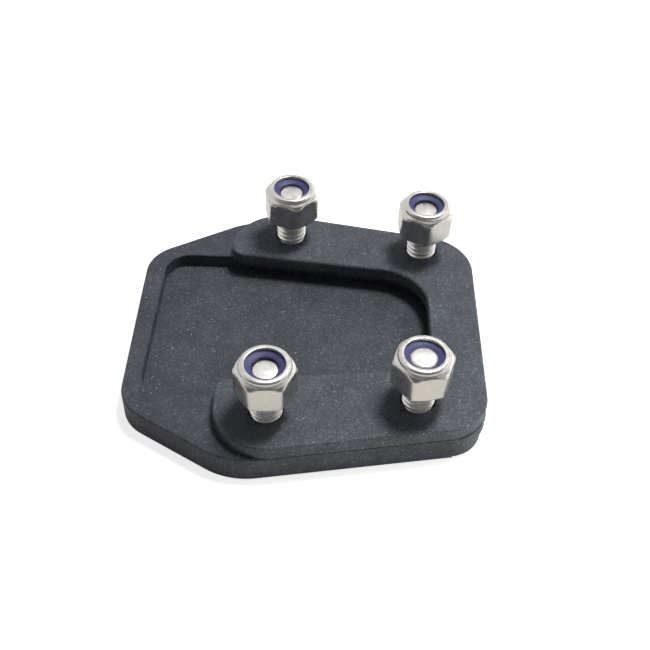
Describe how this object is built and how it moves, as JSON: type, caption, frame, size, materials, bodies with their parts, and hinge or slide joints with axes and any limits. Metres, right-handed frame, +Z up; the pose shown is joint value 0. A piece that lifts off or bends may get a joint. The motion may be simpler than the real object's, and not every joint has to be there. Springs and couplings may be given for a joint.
{
  "type": "kickstand foot enlarger",
  "caption": "Flat foot plate with a milled pocket for a side stand's foot, clamped by a horseshoe plate on studs with nylon-insert lock nuts.",
  "frame": {"origin": "middle of the underside of the foot plate, on the ground", "axes": "+X towards the closed end of the horseshoe, +Y to the back, +Z up"},
  "size_m": [0.0658, 0.0626, 0.0203],
  "materials": {
    "black_anodised": "bead-blasted, black anodised",
    "stud_steel": "rolled thread",
    "nut_steel": "satin stainless",
    "blue_nylon": "moulded nylon"
  },
  "bodies": {
    "root": {"base_plate": "black_anodised", "clamp_plate": "black_anodised", "clamp_studs": "stud_steel", "lock_nuts": "nut_steel", "nylon_inserts": "blue_nylon"}
  },
  "joints": []
}
